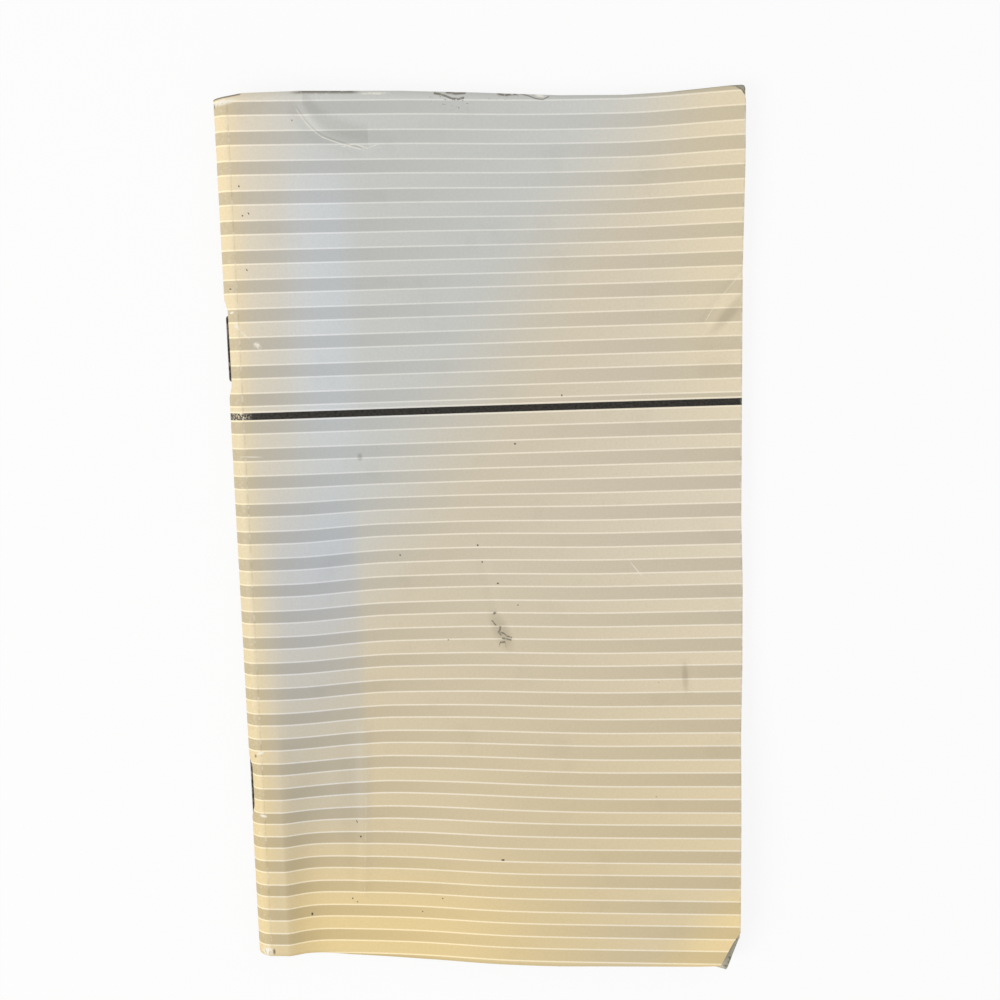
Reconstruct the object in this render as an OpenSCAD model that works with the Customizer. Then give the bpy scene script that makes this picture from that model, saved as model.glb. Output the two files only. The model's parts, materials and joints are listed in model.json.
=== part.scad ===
// A saddle-stitched booklet that lies closed on its back cover.
// X runs from the spine to the fore-edge, Y runs up the page, Z is up.
// Every leaf turns over about one line that runs along Y through the middle of the spine.

/* [Page] */
// Height of the booklet along its spine
page_h = 178; // [120:1:240]
// Width of the closed booklet, from the outside of the spine to the fore-edge
booklet_w = 102; // [70:1:160]
// Radius of the leaves' upper outer corner
leaf_corner_r = 0.8; // [0.2:0.1:3]
// Radius of the cover's worn upper outer corner
cover_corner_r = 2.6; // [0.5:0.1:6]

/* [Blunted lower corner] */
// Length that wear takes off the front cover's bottom edge
cover_cut_x = 4.6; // [1:0.1:8]
// Length that wear takes off the front cover's fore-edge
cover_cut_y = 6.8; // [1:0.1:12]
// Length that wear takes off the back cover's bottom edge
back_cut_x = 3.0; // [1:0.1:8]
// Length that wear takes off the back cover's fore-edge
back_cut_y = 5.0; // [1:0.1:12]

/* [Paper] */
// Number of folded sheets inside the cover
sheet_count = 10; // [4:1:14]
// Thickness of one leaf
leaf_t = 0.1; // [0.06:0.01:0.14]
// Air between one leaf and the next in the loosely closed booklet
leaf_air = 0.12; // [0.05:0.01:0.2]
// Thickness of the cover card
cover_t = 0.25; // [0.15:0.01:0.4]

/* [Waves] */
// Air between the leaves where the booklet is pressed flat
pressed_air = 0.02; // [0.02:0.01:0.05]
// Width of the springy hump beside the spine, at the top of the page
hump_top_w = 33; // [10:0.5:60]
// Width of the hump at the bottom of the page
hump_bottom_w = 4; // [3:0.5:30]
// Distance from the turning line to the slope of the swell at the lower outer side
swell_x = 40; // [20:0.5:70]
// Width of that slope
swell_w = 6; // [3:0.5:12]
// Height above the bottom edge up to which the swell is full
swell_full_y = 24; // [5:0.5:40]
// Height above the bottom edge at which the swell has faded
swell_end_y = 74; // [50:0.5:110]
// Share of its springiness that the upper outer corner keeps
corner_share = 0.26; // [0:0.01:0.5]

/* [Staples] */
// Diameter of the staple wire
wire_d = 0.5; // [0.4:0.05:0.8]
// Length of a staple's crown, outside to outside
crown_l = 13.2; // [10:0.2:20]
// Length of each bent tip inside the middle spread
tip_l = 5; // [3:0.5:6]
// Radius of the wire's bends, to its centre line
bend_r = 0.4; // [0.4:0.05:0.6]
// Distance from the top edge to the middle of the upper staple
upper_from_top = 47.9; // [20:0.1:55]
// Distance from the bottom edge to the middle of the lower staple
lower_from_bottom = 39; // [20:0.1:55]

/* [Clearances] */
// Clearance round the wire in the holes of the folds
hole_clear = 0.08; // [0.05:0.01:0.15]
// Clearance between the bent tips and the middle fold
tip_clear = 0.1; // [0.05:0.01:0.2]
// Clearance between a staple's crown and the spine
crown_clear = 0.02; // [0.01:0.01:0.05]
// Clearance that the leaves keep from the folds while they turn
turn_clear = 0.05; // [0.03:0.01:0.15]

/* [Hidden] */
leaf_count = 2 * sheet_count;
leaf_pitch = leaf_t + leaf_air;
// Half of the space that the middle fold leaves for the bent tips
middle_half = wire_d / 2 + tip_clear;
// From the turning line to the outside of the cover, above, below and at the spine
half_t = middle_half + sheet_count * leaf_pitch + cover_t;
wire_proud = crown_clear + wire_d;
// The staples and folds stay inside this radius about the turning line, the leaves outside it
core_r = half_t + wire_proud;
turn_r = core_r + turn_clear;
// The outline of booklet and staples together is centred on the origin
axis_x = wire_proud + half_t - (booklet_w + wire_proud) / 2;
fore_x = (booklet_w + wire_proud) / 2;
reach = fore_x - axis_x;
hole_d = wire_d + 2 * hole_clear;
leg_spread = crown_l - wire_d;
upper_y = page_h / 2 - upper_from_top;
lower_y = lower_from_bottom - page_h / 2;
arc_steps = 8;
smooth = 96;
wave_columns = 9;
wave_rows = 9;
// The waves' columns lie closer together beside the spine
wave_crowding = 1.6;
// How far the waves' grid reaches past the leaves' outlines, which then trim it
wave_margin = 0.5;

function two_digits(n) = n < 10 ? str("0", n) : str(n);
function leaf_name(n) = str("leaf_", two_digits(n));
function fold_name(n) = str("fold_", two_digits(n));
// Leaf 1 is the front leaf of sheet 1, the outermost, and the last leaf is its back leaf
function sheet_of(leaf) = leaf <= sheet_count ? leaf : leaf_count + 1 - leaf;
// Distance of a sheet's inner face from the turning line; the cover counts as sheet 0
function inner_face(sheet) = sheet == 0 ? half_t - cover_t : middle_half + (sheet_count - sheet) * leaf_pitch;
function thickness(sheet) = sheet == 0 ? cover_t : leaf_t;
function outer_face(sheet) = inner_face(sheet) + thickness(sheet);
// How far a fold's flat ends may reach inside the core, and where its leaf starts outside it
function stub_end(sheet) = sqrt(core_r ^ 2 - outer_face(sheet) ^ 2);
function leaf_start(sheet) = sqrt(turn_r ^ 2 - inner_face(sheet) ^ 2);
// The corner's wear fades from the front cover, at depth 0, to the back cover, at depth 1
function faded(front, back, depth) = front + (back - front) * depth;

function eased(t) = let (s = min(max(t, 0), 1)) s * s * (3 - 2 * s);
// 1 along the spine, falling to 0 where the pages are pressed together
function hump(x, y) =
    let (w = hump_bottom_w + (hump_top_w - hump_bottom_w) * eased((y / page_h + 0.4) / 0.65))
    exp(-(max(x - turn_r, 0) / w) ^ 1.5);
// 1 at the lower outer side, where the pages spring up again
function swell(x, y) =
    let (rise = y + page_h / 2 - swell_full_y)
    (1 - eased(rise / (swell_end_y - swell_full_y))) / (1 + exp((swell_x - x) / swell_w));
function corner(x, y) = corner_share * eased(2 * x / reach - 1) * eased(4 * y / page_h - 1);
// Share of its springiness that the booklet keeps, at X from the turning line and Y up the page
function springiness(x, y) = 1 - (1 - hump(x, y)) * (1 - swell(x, y)) * (1 - corner(x, y));

// Height of a leaf's underside where the booklet springs open, and where it is pressed; the front cover is leaf 0
function sprung_level(leaf) =
    leaf <= sheet_count ? half_t + inner_face(sheet_of(leaf)) : half_t - outer_face(sheet_of(leaf));
function pressed_level(leaf) = cover_t + pressed_air + (leaf_count - leaf) * (leaf_t + pressed_air);
function leaf_level(leaf, x, y) =
    pressed_level(leaf) + (sprung_level(leaf) - pressed_level(leaf)) * springiness(x, y);

wave_x = concat(
    [leaf_start(0) - wave_margin],
    [for (i = [0 : wave_columns])
        turn_r + (reach + wave_margin - turn_r) * (i / wave_columns) ^ wave_crowding]
);
wave_y = [for (j = [0 : wave_rows]) (page_h + 2 * wave_margin) * (j / wave_rows - 0.5)];

// A leaf's outline from its start to the fore-edge, in X measured from the turning line
module leaf_outline(start, depth, corner_r) {
    cut_x = faded(cover_cut_x, back_cut_x, depth);
    cut_y = faded(cover_cut_y, back_cut_y, depth);
    half_h = page_h / 2;
    polygon(concat(
        [[start, -half_h], [reach - cut_x, -half_h], [reach, cut_y - half_h]],
        [for (i = [0 : arc_steps]) let (a = 90 * i / arc_steps)
            [reach - corner_r * (1 - cos(a)), half_h - corner_r * (1 - sin(a))]],
        [[start, half_h]]
    ));
}

// A waving sheet, wider than the leaf that is trimmed from it
module waves(leaf) {
    columns = len(wave_x);
    rows = len(wave_y);
    layer = columns * rows;
    function at(i, j) = i * rows + j;
    under = [for (x = wave_x, y = wave_y) [x, y, leaf_level(leaf, x, y)]];
    over = [for (p = under) p + [0, 0, thickness(sheet_of(leaf))]];
    cells = [for (i = [0 : columns - 2], j = [0 : rows - 2])
        [at(i, j), at(i, j + 1), at(i + 1, j + 1), at(i + 1, j)]];
    halves = [for (c = cells) each [[c[0], c[1], c[2]], [c[0], c[2], c[3]]]];
    rim = concat(
        [for (i = [0 : columns - 1]) at(i, 0)],
        [for (j = [1 : rows - 1]) at(columns - 1, j)],
        [for (i = [columns - 2 : -1 : 0]) at(i, rows - 1)],
        [for (j = [rows - 2 : -1 : 1]) at(0, j)]
    );
    last = len(rim);
    sides = [for (k = [0 : last - 1])
        let (a = rim[k], b = rim[(k + 1) % last])
        each [[a, b + layer, b], [a, a + layer, b + layer]]];
    polyhedron(
        points = concat(under, over),
        faces = concat(
            [for (t = halves) [t[2], t[1], t[0]]],
            [for (t = halves) [t[0] + layer, t[1] + layer, t[2] + layer]],
            sides
        )
    );
}

// A leaf that follows the waves, from its start beside the spine to the fore-edge
module waving_leaf(leaf, start, corner_r) {
    translate([axis_x, 0, 0])
        intersection() {
            waves(leaf);
            linear_extrude(2 * half_t)
                leaf_outline(start, leaf / (leaf_count + 1), corner_r);
        }
}

// The rounded fold of a sheet at the spine, with its two short flat ends
module fold_profile(sheet) {
    outer = outer_face(sheet);
    inner = inner_face(sheet);
    difference() {
        circle(outer, $fn = smooth);
        circle(inner, $fn = smooth);
        translate([0, -outer]) square(2 * outer);
    }
    for (side = [-1, 1])
        translate([0, side > 0 ? inner : -outer]) square([stub_end(sheet), outer - inner]);
}

// Holes for both legs of both staples, through everything that lies left of the turning line
module leg_holes() {
    for (mid_y = [upper_y, lower_y], side = [-1, 1])
        translate([-core_r, mid_y + side * leg_spread / 2, 0])
            rotate([0, 90, 0])
                cylinder(h = core_r, d = hole_d, $fn = 48);
}

module spine_fold(sheet) {
    translate([axis_x, 0, half_t])
        difference() {
            rotate([90, 0, 0])
                linear_extrude(page_h, center = true) fold_profile(sheet);
            leg_holes();
        }
}

module wire_run(length) {
    cylinder(h = length, d = wire_d, $fn = 32);
}

module wire_bend() {
    rotate_extrude(angle = 90, $fn = 64)
        translate([bend_r, 0]) circle(d = wire_d, $fn = 32);
}

// One half of a staple above its own middle: half the crown, a leg and a bent tip
module half_staple() {
    crown_x = -half_t - crown_clear - wire_d / 2;
    leg_y = leg_spread / 2;
    translate([crown_x, 0, 0])
        rotate([-90, 0, 0]) wire_run(leg_y - bend_r);
    translate([crown_x + bend_r, leg_y - bend_r, 0])
        rotate([0, 0, 90]) wire_bend();
    translate([crown_x + bend_r, leg_y, 0])
        rotate([0, 90, 0]) wire_run(-crown_x - 2 * bend_r);
    translate([-bend_r, leg_y - bend_r, 0])
        wire_bend();
    translate([0, leg_y - bend_r, 0])
        rotate([90, 0, 0]) wire_run(tip_l - bend_r - wire_d / 2);
}

module staple(mid_y) {
    color([0.28, 0.27, 0.26])
        translate([axis_x, mid_y, half_t]) {
            half_staple();
            mirror([0, 1, 0]) half_staple();
        }
}

module front_cover() {
    color([0.84, 0.81, 0.74]) waving_leaf(0, leaf_start(0), cover_corner_r);
}

module cover_spine() {
    color([0.82, 0.77, 0.66]) spine_fold(0);
}

module back_cover() {
    color([0.84, 0.81, 0.74])
        translate([axis_x, 0, 0])
            linear_extrude(cover_t)
                leaf_outline(stub_end(0), 1, cover_corner_r);
}

module leaf(n) {
    color([0.95, 0.94, 0.9]) waving_leaf(n, leaf_start(sheet_of(n)), leaf_corner_r);
}

module fold(n) {
    color([0.93, 0.92, 0.87]) spine_fold(n);
}

front_cover();
cover_spine();
back_cover();
for (n = [1 : leaf_count]) leaf(n);
for (n = [1 : sheet_count]) fold(n);
staple(upper_y);  // upper_staple
staple(lower_y);  // lower_staple
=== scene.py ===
"""Looks of a worn, saddle-stitched booklet that lies closed on its back cover.

The printed cover, the pages, their folds and the two wire staples are modelled as paper, card and
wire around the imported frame. Lengths in the classes are millimetres; every mesh is finished in
metres, at its place. A sheet's flat places are counted from the turning line in the middle of the
spine; marks on the cover are placed in the frame's own X and Y. A Line is a row of places. An Oval is
its middle, half its width, half its height and, if it is turned, its turn in degrees.
"""

import json
import logging
import math
import random
from dataclasses import dataclass, field
from enum import Enum
from functools import reduce
from typing import Any, Callable, Sequence

import bpy
import numpy as np
from mathutils import Matrix, Vector

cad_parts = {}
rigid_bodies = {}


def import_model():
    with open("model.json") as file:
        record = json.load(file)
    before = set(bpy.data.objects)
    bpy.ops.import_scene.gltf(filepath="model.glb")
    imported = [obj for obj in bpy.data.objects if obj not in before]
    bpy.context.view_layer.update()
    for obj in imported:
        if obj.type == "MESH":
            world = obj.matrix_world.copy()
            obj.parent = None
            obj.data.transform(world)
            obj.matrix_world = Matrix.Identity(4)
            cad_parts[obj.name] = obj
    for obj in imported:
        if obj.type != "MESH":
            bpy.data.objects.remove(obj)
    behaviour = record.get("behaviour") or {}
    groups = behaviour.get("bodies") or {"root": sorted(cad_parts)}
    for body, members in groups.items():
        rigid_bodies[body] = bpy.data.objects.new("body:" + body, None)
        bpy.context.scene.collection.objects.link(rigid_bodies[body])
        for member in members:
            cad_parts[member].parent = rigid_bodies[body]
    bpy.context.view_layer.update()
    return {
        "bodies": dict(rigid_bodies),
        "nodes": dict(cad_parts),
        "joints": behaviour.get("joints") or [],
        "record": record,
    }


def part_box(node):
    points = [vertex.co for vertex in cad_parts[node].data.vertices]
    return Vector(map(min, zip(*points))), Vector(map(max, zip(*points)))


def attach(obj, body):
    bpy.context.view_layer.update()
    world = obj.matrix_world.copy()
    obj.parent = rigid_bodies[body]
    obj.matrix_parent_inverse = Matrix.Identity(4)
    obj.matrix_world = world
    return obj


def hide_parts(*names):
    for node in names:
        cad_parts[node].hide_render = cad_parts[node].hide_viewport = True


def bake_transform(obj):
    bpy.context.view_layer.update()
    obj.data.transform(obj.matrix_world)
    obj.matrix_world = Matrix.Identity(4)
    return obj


log = logging.getLogger("booklet")

MM = 0.001
SHEET_MAP = "sheet_mm"
EDGE_MAP = "edge_mm"
WHITE = (1.0, 1.0, 1.0, 1.0)

Surface = Callable[[np.ndarray, np.ndarray], np.ndarray]
Rgb = tuple[int, int, int]
Line = tuple[tuple[float, float], ...]
Oval = tuple[float, ...]


class Side(Enum):
    """Which half of the booklet a leaf belongs to, seen from the turning line."""

    FRONT = 1
    BACK = -1


# --------------------------------------------------------------------------------------------------
# Shader maths
# --------------------------------------------------------------------------------------------------


class Channel:
    """A number that varies over a surface: a node socket with arithmetic."""

    def __init__(self, shop: "NodeShop", socket: bpy.types.NodeSocket) -> None:
        """Wraps a socket.

        Args:
            shop: The node shop that makes further nodes.
            socket: The output socket that holds the value.
        """
        self.shop = shop
        self.socket = socket

    def _maths(self, operation: str, *values: Any, clamp: bool = False) -> "Channel":
        """Adds a Math node.

        Args:
            operation: The Math node's operation.
            values: Its inputs, channels or plain numbers.
            clamp: Whether the result stays between 0 and 1.

        Returns:
            The result.
        """
        settings = {"operation": operation, "use_clamp": clamp}
        node = self.shop.node("ShaderNodeMath", settings, dict(enumerate(values)))
        return Channel(self.shop, node.outputs[0])

    def __add__(self, other: Any) -> "Channel":
        """This plus other."""
        return self._maths("ADD", self, other)

    __radd__ = __add__

    def __sub__(self, other: Any) -> "Channel":
        """This minus other."""
        return self._maths("SUBTRACT", self, other)

    def __rsub__(self, other: Any) -> "Channel":
        """Other minus this."""
        return self._maths("SUBTRACT", other, self)

    def __mul__(self, other: Any) -> "Channel":
        """This times other."""
        return self._maths("MULTIPLY", self, other)

    __rmul__ = __mul__

    def __truediv__(self, other: Any) -> "Channel":
        """This divided by other."""
        return self._maths("DIVIDE", self, other)

    def __abs__(self) -> "Channel":
        """This without its sign."""
        return self._maths("ABSOLUTE", self)

    def fraction(self) -> "Channel":
        """What is left above the next lower whole number."""
        return self._maths("FRACT", self)

    def above(self, threshold: float) -> "Channel":
        """1 where this is above the threshold, else 0."""
        return self._maths("GREATER_THAN", self, threshold)

    def least(self, other: Any) -> "Channel":
        """The smaller of this and other."""
        return self._maths("MINIMUM", self, other)

    def most(self, other: Any) -> "Channel":
        """The larger of this and other."""
        return self._maths("MAXIMUM", self, other)

    def clamped(self) -> "Channel":
        """This held between 0 and 1."""
        return self._maths("ADD", self, 0.0, clamp=True)

    def root(self) -> "Channel":
        """The square root of this."""
        return self._maths("SQRT", self)

    def ramp(self, start: float, end: float) -> "Channel":
        """A smooth step.

        Args:
            start: Where it is 0; it may lie above end.
            end: Where it is 1.

        Returns:
            The step, from 0 to 1.
        """
        rising = float(start < end)
        settings = {"interpolation_type": "SMOOTHSTEP"}
        values = {"Value": self, "From Min": min(start, end), "From Max": max(start, end)}
        values.update({"To Min": 1.0 - rising, "To Max": rising})
        node = self.shop.node("ShaderNodeMapRange", settings, values)
        return Channel(self.shop, node.outputs["Result"])


class NodeShop:
    """Makes the nodes of one material or world."""

    def __init__(self, owner: bpy.types.Material | bpy.types.World) -> None:
        """Starts with an empty tree.

        Args:
            owner: The new material or world.
        """
        self.owner = owner
        owner.use_nodes = True
        self.tree = owner.node_tree
        self.tree.nodes.clear()

    def node(self, kind: str, settings: dict[str, Any], values: dict[Any, Any]) -> bpy.types.Node:
        """Adds a node.

        Args:
            kind: The node's type.
            settings: Its properties, or "points" for the places that a float curve runs through.
            values: What goes into its inputs, by name or number: a channel, a socket or a plain value.

        Returns:
            The node.
        """
        made = self.tree.nodes.new(kind)
        for key, value in settings.items():
            if key == "points":
                self._set_points(made, value)
            else:
                setattr(made, key, value)
        for key, value in values.items():
            source = value.socket if isinstance(value, Channel) else value
            if isinstance(source, bpy.types.NodeSocket):
                self.tree.links.new(source, made.inputs[key])
            else:
                made.inputs[key].default_value = source
        return made

    def _set_points(self, made: bpy.types.Node, points: Sequence[tuple[float, float]]) -> None:
        """Gives a float curve its points.

        Args:
            made: The float curve node.
            points: The places it runs through, from 0 to 1 in both directions and in order.
        """
        curve = made.mapping.curves[0]
        for point, place in zip((curve.points[0], curve.points[-1]), (points[0], points[-1])):
            point.location = place
        for place in points[1:-1]:
            curve.points.new(*place)
        for point in curve.points:
            point.handle_type = "VECTOR"
        made.mapping.update()

    def grain(
        self, place: bpy.types.NodeSocket, scale: float, detail: float = 2.0, rough: float = 0.5
    ) -> Channel:
        """Soft noise.

        Args:
            place: The coordinates, in millimetres or metres.
            scale: How many blotches fit in one unit.
            detail: How many finer layers there are.
            rough: How strong the finer layers are.

        Returns:
            A value that varies about one half.
        """
        values = {"Vector": place, "Scale": scale, "Detail": detail, "Roughness": rough}
        return Channel(self, self.node("ShaderNodeTexNoise", {}, values).outputs["Fac"])

    def stretched(self, place: bpy.types.NodeSocket, across: float, along: float) -> bpy.types.NodeSocket:
        """The coordinates scaled by across in X and by along in Y."""
        values = {0: place, 1: (across, along, 1.0)}
        return self.node("ShaderNodeVectorMath", {"operation": "MULTIPLY"}, values).outputs[0]

    def mixed(
        self, share: Channel | float, first: Any, second: Any, blend: str = "MIX"
    ) -> bpy.types.NodeSocket:
        """Mixes two colours.

        Args:
            share: How much of the second shows.
            first: The colour below.
            second: The colour above.
            blend: How they mix.

        Returns:
            The mixed colour's socket.
        """
        settings = {"data_type": "RGBA", "blend_type": blend}
        return self.node("ShaderNodeMix", settings, {0: share, 6: first, 7: second}).outputs[2]

    def gained(self, share: Channel, colour: Any, gain: Sequence[float]) -> bpy.types.NodeSocket:
        """A colour multiplied by a gain, where share is 1."""
        return self.mixed(share, colour, (*gain, 1.0), "MULTIPLY")

    def relief(self, height: Channel, strength: float, distance: float) -> bpy.types.NodeSocket:
        """A bump from a height that varies about a half.

        Args:
            height: The height, in shares of distance.
            strength: How much of it shows.
            distance: Its full height in metres.

        Returns:
            The normal's socket.
        """
        values = {"Strength": strength, "Distance": distance, "Height": height}
        return self.node("ShaderNodeBump", {}, values).outputs["Normal"]

    def surface(
        self, colour: Any, constants: dict[str, Any], varying: dict[str, Any]
    ) -> bpy.types.Material:
        """Ends the material in one Principled shader.

        Args:
            colour: The base colour, a socket or a plain colour.
            constants: Plain values, set on the shader's own sockets.
            varying: Links into the sockets that may vary.

        Returns:
            The finished material.
        """
        sockets = {"Base Color": colour, **constants, **varying}
        shader = self.node("ShaderNodeBsdfPrincipled", {}, sockets)
        self.node("ShaderNodeOutputMaterial", {}, {"Surface": shader.outputs[0]})
        return self.owner


class SheetShop(NodeShop):
    """Makes the nodes of a sheet's material, from the places on the flat sheet in millimetres."""

    def __init__(self, name: str) -> None:
        """Starts the material and reads the distance from the turning line and the height up the page.

        Args:
            name: The material's name.
        """
        super().__init__(bpy.data.materials.new(name))
        self.place = self._stored(SHEET_MAP)
        self.x, self.y, _ = self._parts(self.place)

    def _stored(self, name: str) -> bpy.types.NodeSocket:
        """A vector that the mesh holds at each of its points."""
        return self.node("ShaderNodeAttribute", {"attribute_name": name}, {}).outputs["Vector"]

    def _parts(self, vector: bpy.types.NodeSocket) -> list[Channel]:
        """The three parts of a vector."""
        parts = self.node("ShaderNodeSeparateXYZ", {}, {0: vector})
        return [Channel(self, output) for output in parts.outputs]

    def edge_gaps(self) -> list[Channel]:
        """The distances from the sheet's fore-edge, top edge and bottom edge, in millimetres."""
        return self._parts(self._stored(EDGE_MAP))


def linear(red: int, green: int, blue: int) -> tuple[float, float, float, float]:
    """A colour picked on a screen as the linear colour that a shader takes."""
    parts = [channel / 255 for channel in (red, green, blue)]
    return (*(p / 12.92 if p <= 0.04045 else ((p + 0.055) / 1.055) ** 2.4 for p in parts), 1.0)


# --------------------------------------------------------------------------------------------------
# Facts from the frame, and the booklet's relief
# --------------------------------------------------------------------------------------------------


@dataclass(frozen=True)
class Stack:
    """Where the booklet's pieces lie, in millimetres, read from the frame."""

    sheets: int
    spine_x: float
    fore_x: float
    half_page: float
    thickness: float
    card: float
    paper: float
    middle: float
    pitch: float
    crown: float

    @classmethod
    def from_frame(cls) -> "Stack":
        """Reads the sizes from the CAD nodes' boxes.

        Returns:
            The sizes.
        """
        sheets = sum(1 for name in bpy.data.objects.keys() if name.startswith("fold_"))
        low, high = (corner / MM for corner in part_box("cover_spine"))
        back_low, back_high = (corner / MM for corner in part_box("back_cover"))
        half = (high.z - low.z) / 2
        card = back_high.z - back_low.z
        innermost, next_out = (cls._fold_radius(sheet) for sheet in (sheets, sheets - 1))
        pitch = next_out - innermost
        middle = half - card - sheets * pitch
        return cls(
            sheets=sheets,
            spine_x=low.x,
            fore_x=back_high.x,
            half_page=back_high.y,
            thickness=high.z - low.z,
            card=card,
            paper=innermost - middle,
            middle=middle,
            pitch=pitch,
            crown=low.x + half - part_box("upper_staple")[0].x / MM,
        )

    @staticmethod
    def _fold_radius(sheet: int) -> float:
        """The outer radius of one sheet's fold."""
        low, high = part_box(f"fold_{sheet:02d}")
        return (high.z - low.z) / 2 / MM

    @property
    def half(self) -> float:
        """Half the booklet's thickness, which is also the spine's radius."""
        return self.thickness / 2

    @property
    def axis_x(self) -> float:
        """Where the turning line stands."""
        return self.spine_x + self.half

    @property
    def reach(self) -> float:
        """From the turning line to the fore-edge."""
        return self.fore_x - self.axis_x

    def outer(self, sheet: int) -> float:
        """Distance of a sheet's outer face from the turning line; the cover is sheet 0."""
        inside = self.middle + (self.sheets - sheet) * self.pitch + self.paper
        return self.half if sheet == 0 else inside

    def sheet_of(self, leaf: int) -> int:
        """The sheet that a leaf belongs to; leaf 0 is the front cover."""
        return leaf if leaf <= self.sheets else 2 * self.sheets + 1 - leaf

    def side_of(self, leaf: int) -> Side:
        """Which half of its sheet a leaf is."""
        return Side.FRONT if leaf <= self.sheets else Side.BACK

    def sprung(self, leaf: int) -> float:
        """Height of a leaf's upper face where the booklet springs open."""
        outer = self.outer(self.sheet_of(leaf))
        return self.half + (outer if self.side_of(leaf) is Side.FRONT else self.paper - outer)

    def pressed(self, leaf: int, air: float) -> float:
        """Height of a leaf's upper face where the booklet is pressed flat, air between its leaves."""
        own = self.card if leaf == 0 else self.paper
        return self.card + air + (2 * self.sheets - leaf) * (self.paper + air) + own


@dataclass(frozen=True)
class Crease:
    """A dent or ridge pressed along a line in the cover."""

    line: Line
    depth: float
    width: float

    def press(self, x: np.ndarray, y: np.ndarray) -> np.ndarray:
        """How far the crease pushes the paper down.

        Args:
            x: Places across the booklet, in the frame.
            y: Places up the booklet.

        Returns:
            The depth at each place, in millimetres, below zero on a ridge.
        """
        nearest = np.full(np.shape(x), np.inf)
        for (ax, ay), (bx, by) in zip(self.line, self.line[1:]):
            run = (bx - ax) ** 2 + (by - ay) ** 2
            along = np.clip(((x - ax) * (bx - ax) + (y - ay) * (by - ay)) / run, 0, 1)
            gap = np.hypot(x - ax - along * (bx - ax), y - ay - along * (by - ay))
            nearest = np.minimum(nearest, gap)
        return self.depth * np.exp(-((nearest / self.width) ** 2))


SMILE_CREASE: Line = (
    (-34.9, 86.6), (-33.3, 84.2), (-31.8, 82.5), (-30.1, 81.3), (-28.6, 80.7), (-25.8, 79.7), (-22.9, 78.9),
)
DIAGONAL_CREASE: Line = ((51.2, 54.2), (48.6, 51.2), (46.0, 48.2), (43.6, 44.3))


def smooth(start: float, end: float, value: np.ndarray) -> np.ndarray:
    """A smooth step from 0 to 1 as value goes from start to end."""
    share = np.clip((value - start) / (end - start), 0, 1)
    return share * share * (3 - 2 * share)


@dataclass
class Relief:
    """The booklet's waves: high along the spine, pressed flat in a valley, sprung up at the lower right.

    The springiness is a hump at the spine that widens towards the top, a swell at the lower right and a
    share of it at the upper right corner.
    """

    stack: Stack
    air: float = 0.02
    turn_gap: float = 0.05
    hump_top: float = 33.0
    hump_bottom: float = 4.0
    swell_x: float = 40.0
    swell_width: float = 6.0
    swell_full: float = 24.0
    swell_end: float = 74.0
    corner_share: float = 0.26
    hump_grows: tuple[float, float] = (-0.4, 0.25)
    hump_power: float = 1.5
    corner_across: tuple[float, float] = (0.5, 1.0)
    corner_up: tuple[float, float] = (0.25, 0.5)
    marks_start: float = 4.0
    creases: tuple[Crease, ...] = (
        Crease(SMILE_CREASE, 0.35, 1.0),
        Crease(DIAGONAL_CREASE, 0.35, 0.7),
        Crease(((-26.8, -38.0), (-27.4, -53.7), (-28.4, -74.0)), -0.16, 1.2),
        Crease(((40.6, -24.0), (40.9, -30.5)), 0.2, 0.5),
        Crease(((-1.5, -3.0), (1.5, -14.0), (4.3, -19.9)), 0.12, 0.8),
    )

    def springiness(self, x: np.ndarray, y: np.ndarray) -> np.ndarray:
        """The share of its springiness that the booklet keeps.

        Args:
            x: Distances from the turning line, in millimetres.
            y: Places up the booklet.

        Returns:
            1 where the leaves spring open, 0 where they are pressed together.
        """
        stack = self.stack
        up = y / (2 * stack.half_page)
        width = self.hump_bottom + (self.hump_top - self.hump_bottom) * smooth(*self.hump_grows, up)
        from_spine = np.maximum(x - stack.crown - self.turn_gap, 0)
        hump = np.exp(-((from_spine / width) ** self.hump_power))
        fading = 1 - smooth(self.swell_full, self.swell_end, y + stack.half_page)
        swell = fading / (1 + np.exp((self.swell_x - x) / self.swell_width))
        corner = smooth(*self.corner_across, x / stack.reach) * smooth(*self.corner_up, up)
        return 1 - (1 - hump) * (1 - swell) * (1 - self.corner_share * corner)

    def height(self, leaf: int, x: np.ndarray, y: np.ndarray) -> np.ndarray:
        """Height of a leaf's upper face above the table; leaf 0 is the front cover."""
        pressed = self.stack.pressed(leaf, self.air)
        return pressed + (self.stack.sprung(leaf) - pressed) * self.springiness(x, y)

    def marks(self, x: np.ndarray, y: np.ndarray) -> np.ndarray:
        """How far all creases together push the cover down, which fades to nothing at the spine."""
        total = sum(crease.press(x + self.stack.axis_x, y) for crease in self.creases)
        return total * smooth(0, self.marks_start, x)


# --------------------------------------------------------------------------------------------------
# Modelling
# --------------------------------------------------------------------------------------------------


@dataclass(frozen=True)
class Cut:
    """A straight cut through a flat sheet: what lies past it along its normal falls away."""

    place: tuple[float, float]
    normal: tuple[float, float]


def blunt_cut(reach: float, bottom: float, across: float, up: float) -> Cut:
    """A blunted lower corner.

    Args:
        reach: Where the fore-edge stands.
        bottom: Where the bottom edge stands.
        across: What the wear takes off the bottom edge.
        up: What it takes off the fore-edge.

    Returns:
        The cut.
    """
    return Cut((reach - across, bottom), tuple(Vector((up, -across)).normalized()))


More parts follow.
